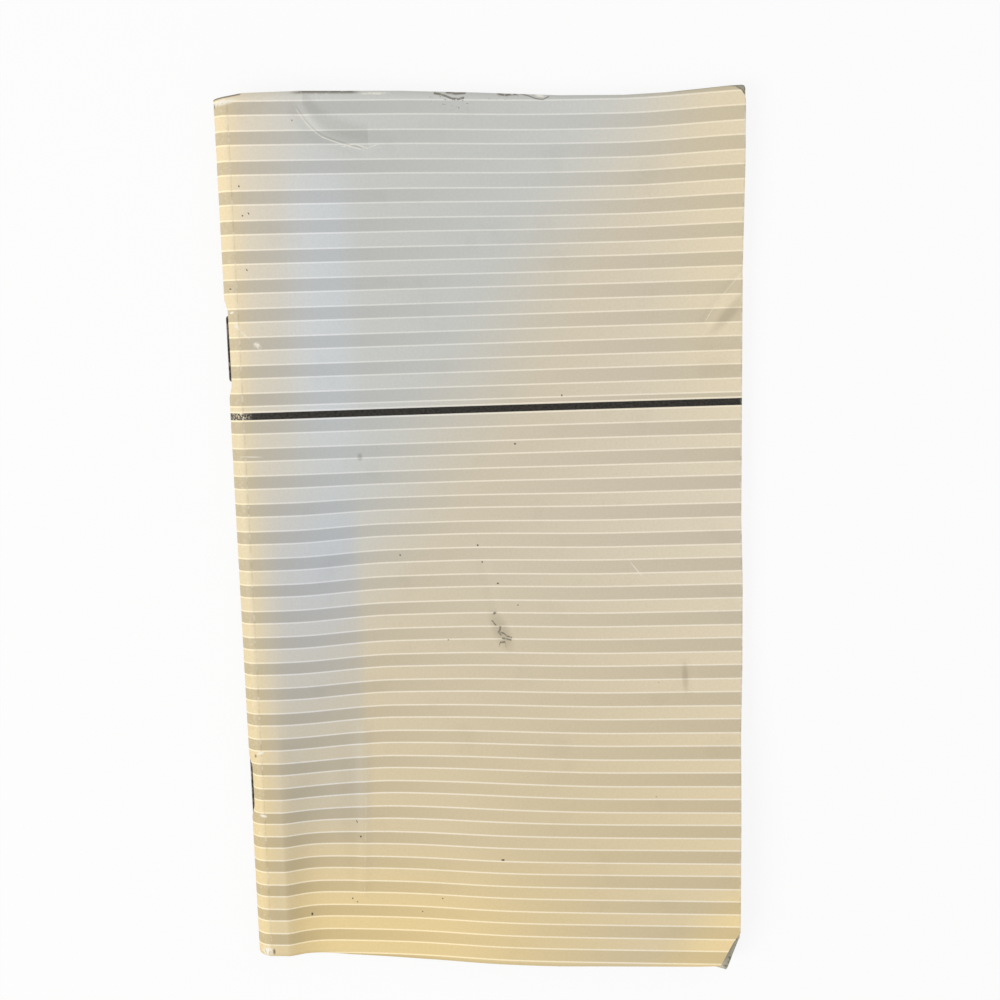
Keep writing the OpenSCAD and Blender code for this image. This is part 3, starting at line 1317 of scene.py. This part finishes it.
    def specks(self) -> Channel:
        """Small dark specks, a few listed and the rest strewn.

        Returns:
            1 inside a speck.
        """
        cells = self.shop.node("ShaderNodeTexVoronoi", {}, {"Vector": self.shop.place, "Scale": 0.11})
        strewn = Channel(self.shop, cells.outputs["Distance"]).ramp(0.022, 0.012)
        return self.spots(self.dark_specks).most(strewn * 0.6)


@dataclass(frozen=True)
class PlainCard:
    """The cover's unprinted inner face."""

    colour: Rgb = (238, 233, 220)
    shade: Rgb = (226, 219, 202)

    def material(self) -> bpy.types.Material:
        """Builds the material.

        Returns:
            The material.
        """
        shop = SheetShop("cover_inside")
        cloud = shop.grain(shop.place, 0.05, 3.0).ramp(0.35, 0.7)
        colour = shop.mixed(cloud, linear(*self.colour), linear(*self.shade))
        fibre = shop.grain(shop.place, 4.0, 3.0, 0.6)
        varying = {"Roughness": fibre * 0.1 + 0.6, "Normal": shop.relief(fibre, 0.25, 0.00005)}
        return shop.surface(colour, {"Specular IOR Level": 0.3}, varying)


@dataclass(frozen=True)
class PagePaper:
    """Uncoated page paper, yellowed towards its edges, darker and greyer along its rims and at its
    fore-edge corners, with grime spots in those corners.
    """

    colour: Rgb = (240, 236, 224)
    aged: Rgb = (229, 218, 190)
    fibres: Rgb = (214, 206, 188)
    dim_tone: Rgb = (140, 137, 123)
    grimy: Rgb = (66, 62, 54)
    fore_zone: float = 14.0
    end_zone: float = 12.0
    corner_across: tuple[float, float] = (5.5, 2.5)
    corner_up: tuple[float, float] = (8.0, 4.0)
    rim: tuple[float, float] = (0.5, 0.05)

    def material(self, stack: Stack) -> bpy.types.Material:
        """Builds the material.

        Args:
            stack: The booklet's sizes.

        Returns:
            The material.
        """
        shop = SheetShop("page_paper")
        cloud = (shop.grain(shop.place, 0.04, 3.0) - 0.5) * 0.6
        fore = shop.x.ramp(stack.reach - self.fore_zone, stack.reach) * 0.6
        ends = abs(shop.y).ramp(stack.half_page - self.end_zone, stack.half_page) * 0.5
        share = (fore.most(ends) + cloud + 0.1).clamped()
        colour = shop.mixed(share, linear(*self.colour), linear(*self.aged))
        fibre = shop.grain(shop.stretched(shop.place, 1.0, 2.4), 2.6, 4.0, 0.7)
        colour = shop.mixed((fibre - 0.4) * 0.25, colour, linear(*self.fibres))
        from_fore, from_top, from_bottom = shop.edge_gaps()
        from_end = from_top.least(from_bottom)
        # Darker and greyer at the fore-edge corners and along the rims.
        corner = from_fore.ramp(*self.corner_across) * from_end.ramp(*self.corner_up)
        rim = from_fore.least(from_end).ramp(*self.rim) * 0.6
        colour = shop.mixed(corner.most(rim) * 0.85, colour, linear(*self.dim_tone))
        grime = shop.grain(shop.place, 1.3, 3.0).ramp(0.56, 0.64) * corner
        colour = shop.mixed(grime * 0.6, colour, linear(*self.grimy))
        varying = {"Roughness": fibre * 0.1 + 0.72, "Normal": shop.relief(fibre, 0.35, 0.00004)}
        return shop.surface(colour, {"Specular IOR Level": 0.22}, varying)


@dataclass(frozen=True)
class CutEdge:
    """The trimmed edge of card or paper, greyed by handling."""

    name: str
    clean: Rgb
    soiled: Rgb
    soil: float

    def material(self) -> bpy.types.Material:
        """Builds the material.

        Returns:
            The material.
        """
        shop = SheetShop(self.name)
        patches = shop.grain(shop.place, 0.5, 4.0, 0.65)
        patches = patches.ramp(0.62 - self.soil * 0.3, 0.7 - self.soil * 0.15)
        colour = shop.mixed(patches, linear(*self.clean), linear(*self.soiled))
        rough = shop.grain(shop.place, 6.0, 2.0) * 0.1 + 0.78
        return shop.surface(colour, {"Specular IOR Level": 0.2}, {"Roughness": rough})


@dataclass(frozen=True)
class StapleWire:
    """Dull stitching wire, darkened by age."""

    bright: Rgb = (120, 116, 110)
    dark: Rgb = (46, 42, 38)

    def material(self) -> bpy.types.Material:
        """Builds the material.

        Returns:
            The material.
        """
        shop = NodeShop(bpy.data.materials.new("staple_wire"))
        place = shop.node("ShaderNodeTexCoord", {}, {}).outputs["Object"]
        tarnish = shop.grain(place, 900.0, 4.0, 0.7).ramp(0.36, 0.62)
        colour = shop.mixed(tarnish, linear(*self.bright), linear(*self.dark))
        drawn = shop.grain(shop.stretched(place, 6000.0, 300.0), 1.0, 2.0)
        varying = {
            "Metallic": 1.0 - tarnish * 0.35,
            "Roughness": tarnish * 0.25 + 0.3,
            "Normal": shop.relief(drawn, 0.3, 0.00002),
        }
        return shop.surface(colour, {"Specular IOR Level": 0.5}, varying)


@dataclass
class Finishes:
    """Every material of the booklet."""

    stack: Stack

    def __post_init__(self) -> None:
        """Builds them all."""
        self.print = CoverPrint().material(self.stack)
        self.card = PlainCard().material()
        cover_edge = CutEdge("cover_edge", clean=(232, 224, 204), soiled=(150, 142, 124), soil=0.35)
        page_edges = CutEdge("page_edges", clean=(224, 216, 198), soiled=(168, 161, 144), soil=0.4)
        self.card_edge = cover_edge.material()
        self.page = PagePaper().material(self.stack)
        self.page_edge = page_edges.material()
        self.wire = StapleWire().material()


# --------------------------------------------------------------------------------------------------
# The booklet
# --------------------------------------------------------------------------------------------------


@dataclass(frozen=True)
class SpineArc:
    """The cover's rounded fold, which bulges a little between the staples that pull it in."""

    stack: Stack
    bulge: float = 0.6
    upper_staple: float = 41.1
    lower_staple: float = -50.0
    lower_shorter: float = 3.0
    pulled: float = 7.0
    free: float = 10.0

    def place(self, angle: np.ndarray, y: np.ndarray) -> tuple[np.ndarray, np.ndarray]:
        """Points of the fold's outer face.

        Args:
            angle: Directions from the turning line, in radians.
            y: Places up the booklet.

        Returns:
            Their X and Z, in millimetres.
        """
        from_lower = np.abs(y - self.lower_staple) + self.lower_shorter
        nearest = np.minimum(np.abs(y - self.upper_staple), from_lower)
        wide = self.stack.half + self.bulge * smooth(self.pulled, self.free, nearest)
        return self.stack.axis_x + wide * np.cos(angle), self.stack.half * (1 + np.sin(angle))


@dataclass
class Cover:
    """The wrap-round cover: its front, its spine and its back."""

    stack: Stack
    relief: Relief
    turning: Turning
    finishes: Finishes
    columns: int = 170
    rows: int = 260
    fold_columns: int = 28
    back_columns: int = 60
    back_rows: int = 90
    blunt: tuple[float, float] = (4.6, 6.8)
    back_blunt: tuple[float, float] = (3.0, 5.0)
    corner_radius: float = 3.2
    back_corner_radius: float = 1.6

    def __post_init__(self) -> None:
        """Works out the fold and the front's worn outline."""
        self.fold = SpineArc(self.stack)
        self.outline = Outline(self.stack.reach, self.stack.half_page, FRONT_TOP, FRONT_BOTTOM, FORE_EDGE)

    def build(self) -> list[bpy.types.Object]:
        """Builds the three pieces of the cover, and lets the spine and the back ride with their body."""
        return [self._front(), self._spine(), self._back()]

    def _sheet(self, name: str, start: float, end: float, **more: Any) -> SheetMesh:
        """A piece of the cover's card, as high as the page."""
        stack = self.stack
        return SheetMesh(name, start, end, -stack.half_page, stack.half_page, thickness=stack.card, **more)

    def _finish(self, piece: bpy.types.Object, node: str) -> bpy.types.Object:
        """Dresses a piece of the cover and lets it stand for its node.

        Args:
            piece: The piece.
            node: The CAD node.

        Returns:
            The piece.
        """
        dress(piece, self.finishes.print, self.finishes.card, self.finishes.card_edge)
        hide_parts(node)
        return piece

    def _cuts(self, blunt: tuple[float, float], radius: float) -> list[Cut]:
        """The blunted lower corner and the rounded upper one."""
        reach, half_page = self.stack.reach, self.stack.half_page
        return [blunt_cut(reach, -half_page, *blunt), *round_cuts((reach, half_page), radius)]

    def _front(self) -> bpy.types.Object:
        """The front cover, from the top of the fold.

        Returns:
            The piece.
        """
        cuts = self._cuts(self.blunt, self.corner_radius)
        shape = {"columns": self.columns, "rows": self.rows, "cuts": cuts, "outline": self.outline}
        sheet = self._sheet("front_cover_print", 0.0, self.stack.reach, **shape)
        piece = sheet.build(self._front_surface)
        self.turning.join(piece, "turning_leaf_01", "turning_front_cover", 0)
        return self._finish(piece, "front_cover")

    def _front_surface(self, flat_x: np.ndarray, flat_y: np.ndarray) -> np.ndarray:
        """Lays the front cover over the waves."""
        z = self.relief.height(0, flat_x, flat_y) - self.relief.marks(flat_x, flat_y)
        return np.stack([self.stack.axis_x + flat_x, flat_y, z], axis=1)

    def _spine(self) -> bpy.types.Object:
        """The rounded fold, which stays with the back.

        Returns:
            The piece.
        """
        shape = {"columns": self.fold_columns, "rows": self.rows, "crowding": 1.0, "outline": self.outline}
        sheet = self._sheet("cover_spine_print", -math.pi * self.stack.half, 0.0, **shape)
        piece = sheet.build(self._spine_surface)
        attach(piece, "back_and_spine")
        return self._finish(piece, "cover_spine")

    def _spine_surface(self, flat_x: np.ndarray, flat_y: np.ndarray) -> np.ndarray:
        """Bends the fold from the top of the booklet round to the table."""
        x, z = self.fold.place(np.pi / 2 - flat_x / self.stack.half, flat_y)
        return np.stack([x, flat_y, z], axis=1)

    def _back(self) -> bpy.types.Object:
        """The back cover, flat on the table.

        Returns:
            The piece.
        """
        cuts = self._cuts(self.back_blunt, self.back_corner_radius)
        outline = Outline(self.stack.reach, self.stack.half_page, LEAF_TOP, BACK_BOTTOM, FORE_EDGE)
        shape = {"columns": self.back_columns, "rows": self.back_rows, "cuts": cuts, "outline": outline}
        sheet = self._sheet("back_cover_print", 0.0, self.stack.reach, **shape)
        piece = sheet.build(self._back_surface, facing_down=True)
        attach(piece, "back_and_spine")
        return self._finish(piece, "back_cover")

    def _back_surface(self, flat_x: np.ndarray, flat_y: np.ndarray) -> np.ndarray:
        """Lays the back cover flat on the table."""
        return np.stack([self.stack.axis_x + flat_x, flat_y, np.zeros(len(flat_x))], axis=1)


@dataclass
class Pages:
    """The leaves and the folds that carry them.

    The blunted lower corner goes from front_blunt on the first leaf to back_blunt on the last one. The
    leaves' trims differ by up to creep, and their blunted corners by up to uneven_blunt.
    """

    stack: Stack
    relief: Relief
    turning: Turning
    finishes: Finishes
    columns: int = 84
    rows: int = 76
    thickness: float = 0.088
    creep: float = 0.2
    least_creep: float = 0.05
    uneven_blunt: tuple[float, float] = (0.3, 0.5)
    seed: int = 11
    corner_radius: float = 0.8
    corner_steps: int = 2
    fold_columns: int = 20
    crease_fading: float = 2.0
    fold_gap: float = 0.4
    fold_lift: float = 2.4
    front_blunt: tuple[float, float] = (3.1, 5.4)
    back_blunt: tuple[float, float] = (2.6, 4.6)

    def build(self) -> list[bpy.types.Object]:
        """Builds every leaf and fold, and lets the folds ride with their body.

        Returns:
            The leaves from the front, then the folds from the outermost.
        """
        draw = random.Random(self.seed)
        leaves = [self._leaf(number, draw) for number in range(1, 2 * self.stack.sheets + 1)]
        folds = [self._fold(sheet) for sheet in range(1, self.stack.sheets + 1)]
        return leaves + folds

    def _leaf(self, number: int, draw: random.Random) -> bpy.types.Object:
        """One leaf.

        Args:
            number: 1 for the first under the front cover.
            draw: The source of the small differences between the leaves' trims.

        Returns:
            The leaf.
        """
        stack = self.stack
        count = 2 * stack.sheets
        depth = number / (count + 1)
        reach = stack.reach - draw.uniform(self.least_creep, self.creep)
        low = -stack.half_page + draw.uniform(0.0, self.creep)
        high = stack.half_page - draw.uniform(0.0, self.creep)
        blunt = [
            front + (back - front) * depth + draw.uniform(-uneven, uneven)
            for front, back, uneven in zip(self.front_blunt, self.back_blunt, self.uneven_blunt)
        ]
        cuts = [blunt_cut(reach, low, *blunt)]
        cuts += round_cuts((reach, high), self.corner_radius, self.corner_steps)
        outline = Outline(stack.reach, stack.half_page, LEAF_TOP, LEAF_BOTTOM, FORE_EDGE)
        name = f"leaf_{number:02d}"
        mesh = (self.columns, self.rows, self.thickness)
        sheet = SheetMesh(f"{name}_paper", 0.0, reach, low, high, *mesh, cuts=cuts, outline=outline)
        piece = sheet.build(lambda x, y: self._leaf_surface(x, y, number))
        below = "back_and_spine" if number == count else f"turning_leaf_{number + 1:02d}"
        self.turning.join(piece, below, f"turning_{name}", stack.sheet_of(number))
        return self._finish(piece, name)

    def _finish(self, piece: bpy.types.Object, node: str) -> bpy.types.Object:
        """Dresses a piece of paper and lets it stand for its node.

        Args:
            piece: The piece.
            node: The CAD node.

        Returns:
            The piece.
        """
        dress(piece, self.finishes.page, self.finishes.page, self.finishes.page_edge)
        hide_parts(node)
        return piece

    def _leaf_surface(self, flat_x: np.ndarray, flat_y: np.ndarray, number: int) -> np.ndarray:
        """Lays a leaf on the waves; the cover's creases fade with depth.

        Args:
            flat_x: Flat distances from the turning line.
            flat_y: Flat places up the page.
            number: The leaf's number.

        Returns:
            The points of its upper face.
        """
        fading = (1 - number / (2 * self.stack.sheets + 1)) ** self.crease_fading
        z = self.relief.height(number, flat_x, flat_y) - self.relief.marks(flat_x, flat_y) * fading
        return np.stack([self.stack.axis_x + flat_x, flat_y, z], axis=1)

    def _fold(self, number: int) -> bpy.types.Object:
        """The rounded fold of one sheet at the spine.

        Args:
            number: The sheet's number.

        Returns:
            The fold.
        """
        low, high = self.fold_lift - self.stack.half_page, self.stack.half_page - self.fold_gap
        radius = self.stack.outer(number)
        name = f"fold_{number:02d}"
        mesh = (self.fold_columns, self.rows, self.thickness)
        sheet = SheetMesh(f"{name}_paper", 0.0, math.pi * radius, low, high, *mesh, crowding=1.0)
        piece = sheet.build(lambda x, y: self._fold_surface(x, y, radius), facing_down=True)
        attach(piece, "back_and_spine")
        return self._finish(piece, name)

    def _fold_surface(self, flat_x: np.ndarray, flat_y: np.ndarray, radius: float) -> np.ndarray:
        """Bends a fold from below the turning line round to above it.

        Args:
            flat_x: Flat distances round the fold.
            flat_y: Flat places up the page.
            radius: The radius of its outer face.

        Returns:
            The points of that face.
        """
        angle = -np.pi / 2 - flat_x / radius
        x = self.stack.axis_x + radius * np.cos(angle)
        z = self.stack.half + radius * np.sin(angle)
        return np.stack([x, flat_y, z], axis=1)


@dataclass
class Stitching:
    """The two wire staples, kept from the frame and given their finish."""

    frame: dict[str, Any]
    finishes: Finishes

    def dress(self) -> list[bpy.types.Object]:
        """Gives both staples their wire finish.

        Returns:
            The staples.
        """
        staples = [self.frame["nodes"][name] for name in ("upper_staple", "lower_staple")]
        for staple in staples:
            staple.data.materials.clear()
            staple.data.materials.append(self.finishes.wire)
        return staples


# --------------------------------------------------------------------------------------------------
# The studio
# --------------------------------------------------------------------------------------------------


@dataclass
class Lamp:
    """A soft square lamp that looks at the booklet."""

    name: str
    place: tuple[float, float, float]
    size: float
    watts: float
    colour: tuple[float, float, float]

    def hang(self) -> None:
        """Adds the lamp."""
        light = bpy.data.lights.new(self.name, "AREA")
        light.size = self.size
        light.energy = self.watts
        light.color = self.colour
        holder = bpy.data.objects.new(self.name, light)
        holder.location = self.place
        holder.rotation_euler = (-Vector(self.place)).to_track_quat("-Z", "Y").to_euler()
        bpy.context.collection.objects.link(holder)


@dataclass
class Studio:
    """Floor, world, lamps and camera."""

    camera_place: tuple[float, float, float] = (12.86, 46.83, 252.16)
    aim: tuple[float, float, float] = (2.52, 9.63, 2.8)
    camera_up: tuple[float, float, float] = (0.0170848, 0.9888052, -0.1482308)
    lens: float = 45.0
    sensor: float = 36.0
    floor_size: float = 6.0
    floor_drop: float = 0.0002
    floor_grey: float = 0.86
    floor_shown: float = 0.86
    world_colour: tuple[float, float, float] = (0.98, 0.99, 1.0)
    world_strength: float = 0.6
    lamps: tuple[Lamp, ...] = (
        Lamp("key", place=(-0.75, -0.25, 0.75), size=0.6, watts=5.6, colour=(1.0, 0.96, 0.9)),
        Lamp("fill", place=(0.55, 0.65, 0.9), size=0.9, watts=2.0, colour=(0.94, 0.97, 1.0)),
    )

    def build(self) -> None:
        """Builds the whole studio."""
        self._camera()
        self._world()
        self._floor()
        for lamp in self.lamps:
            lamp.hang()

    def _camera(self) -> None:
        """Places the camera at the photograph's angle."""
        camera = bpy.data.cameras.new("camera")
        camera.lens = self.lens
        camera.sensor_width = self.sensor
        holder = bpy.data.objects.new("camera", camera)
        bpy.context.collection.objects.link(holder)
        place = Vector(self.camera_place) * MM
        look = (Vector(self.aim) * MM - place).normalized()
        right = look.cross(Vector(self.camera_up)).normalized()
        turned = Matrix((right, right.cross(look), -look)).transposed().to_4x4()
        holder.matrix_world = Matrix.Translation(place) @ turned
        bpy.context.scene.camera = holder

    def _world(self) -> None:
        """A plain white world, full white where the camera sees it."""
        world = bpy.data.worlds.new("studio")
        bpy.context.scene.world = world
        shop = NodeShop(world)
        path = shop.node("ShaderNodeLightPath", {}, {})
        camera, transmission = (
            Channel(shop, path.outputs[ray]) for ray in ("Is Camera Ray", "Is Transmission Ray")
        )
        light = {"Color": (*self.world_colour, 1.0), "Strength": self.world_strength}
        lit = shop.node("ShaderNodeBackground", {}, light)
        shown = shop.node("ShaderNodeBackground", {}, {"Color": WHITE, "Strength": 1.0})
        seen = camera.most(transmission)
        mix = shop.node("ShaderNodeMixShader", {}, {0: seen, 1: lit.outputs[0], 2: shown.outputs[0]})
        shop.node("ShaderNodeOutputWorld", {}, {"Surface": mix.outputs[0]})

    def _floor(self) -> None:
        """A pale floor that keeps the booklet's shadow and looks white to the camera."""
        bpy.ops.object.select_all(action="DESELECT")
        bpy.ops.mesh.primitive_plane_add(size=self.floor_size)
        floor = bpy.context.object
        floor.name = "floor"
        floor.location.z = -self.floor_drop
        shop = NodeShop(bpy.data.materials.new("pale_floor"))
        path = shop.node("ShaderNodeLightPath", {}, {})
        kinds = ("Camera", "Glossy", "Transmission")
        rays = [Channel(shop, path.outputs[f"Is {kind} Ray"]) for kind in kinds]
        seen = reduce(Channel.most, rays) * self.floor_shown
        grey = (self.floor_grey, self.floor_grey, self.floor_grey, 1.0)
        matt = shop.node("ShaderNodeBsdfDiffuse", {}, {"Color": grey})
        white = shop.node("ShaderNodeEmission", {}, {"Color": WHITE, "Strength": 1.0})
        mix = shop.node("ShaderNodeMixShader", {}, {0: seen, 1: matt.outputs[0], 2: white.outputs[0]})
        shop.node("ShaderNodeOutputMaterial", {}, {"Surface": mix.outputs[0]})
        floor.data.materials.append(shop.owner)


def main() -> None:
    """Builds the booklet and its studio around the frame."""
    logging.basicConfig(level=logging.INFO, format="%(name)s: %(message)s")
    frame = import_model()
    bpy.context.scene.view_settings.view_transform = "Standard"
    Studio().build()
    stack = Stack.from_frame()
    log.info("stack %s", stack)
    relief = Relief(stack)
    turning = Turning(stack)
    finishes = Finishes(stack)
    for part in (Cover(stack, relief, turning, finishes), Pages(stack, relief, turning, finishes)):
        for piece in part.build():
            log.info("%s has %d faces", piece.name, len(piece.data.polygons))
    for staple in Stitching(frame, finishes).dress():
        log.info("%s dressed", staple.name)


if __name__ == "__main__":
    main()
